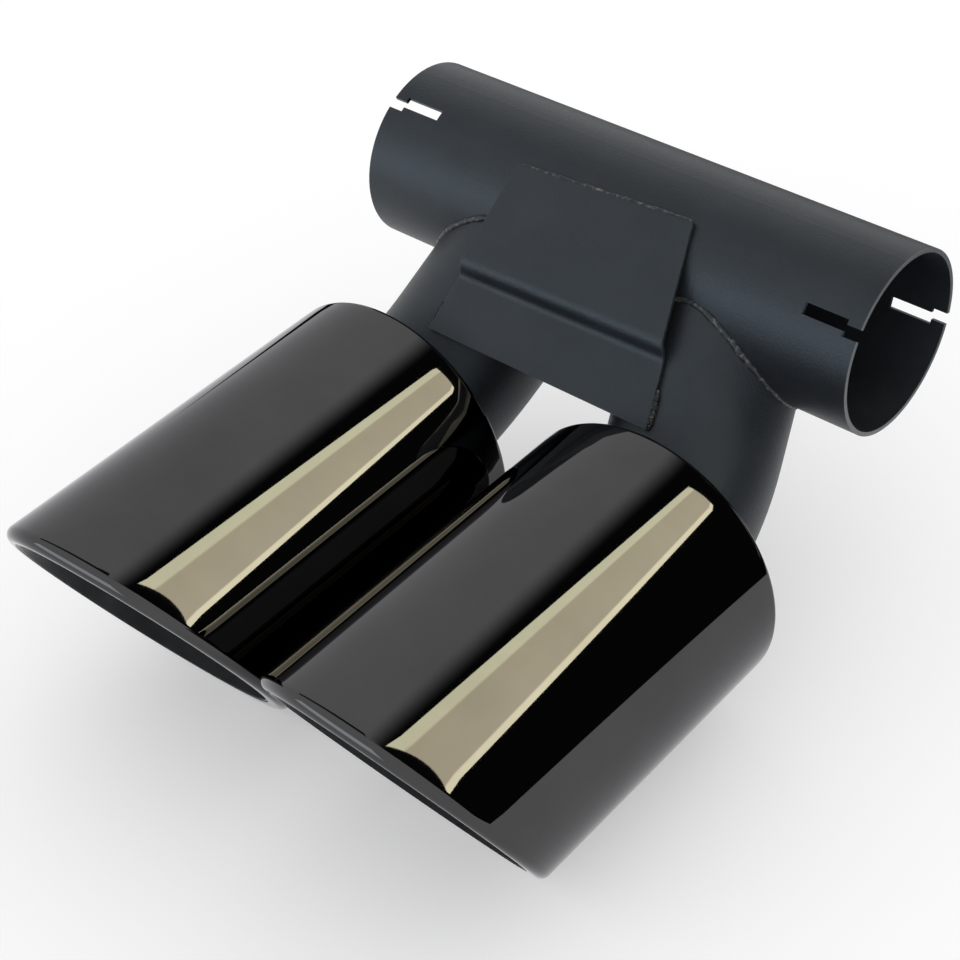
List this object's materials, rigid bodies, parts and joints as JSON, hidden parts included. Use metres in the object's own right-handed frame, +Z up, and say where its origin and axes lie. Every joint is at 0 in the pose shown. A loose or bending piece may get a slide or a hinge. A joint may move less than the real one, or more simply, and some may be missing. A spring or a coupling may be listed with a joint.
{
  "type": "twin exhaust tip",
  "caption": "Twin exhaust tip: round slash-cut tips with rolled rims on sloping branch pipes, welded with a brace plate to a slotted cross tube that clamps onto the outlet pipes.",
  "frame": {"origin": "middle of the cross tube's axis", "axes": "+X along the cross tube, to the right of a viewer who faces the tip mouths; -Y out of the tip mouths; +Z up"},
  "size_m": [0.2092, 0.2538, 0.1414],
  "materials": {
    "satin_black_coat": "satin black coating with a fine grain",
    "black_chrome": "polished black chrome",
    "liner_black": "dark chrome, duller towards the pipe"
  },
  "bodies": {
    "root": {"cross_tube": "satin_black_coat", "brace_plate": "satin_black_coat", "left_branch_pipe": "satin_black_coat", "left_inlet_stub": "satin_black_coat", "left_tip_shell": "black_chrome", "left_tip_liner": "liner_black", "right_branch_pipe": "satin_black_coat", "right_inlet_stub": "satin_black_coat", "right_tip_shell": "black_chrome", "right_tip_liner": "liner_black"}
  },
  "joints": []
}
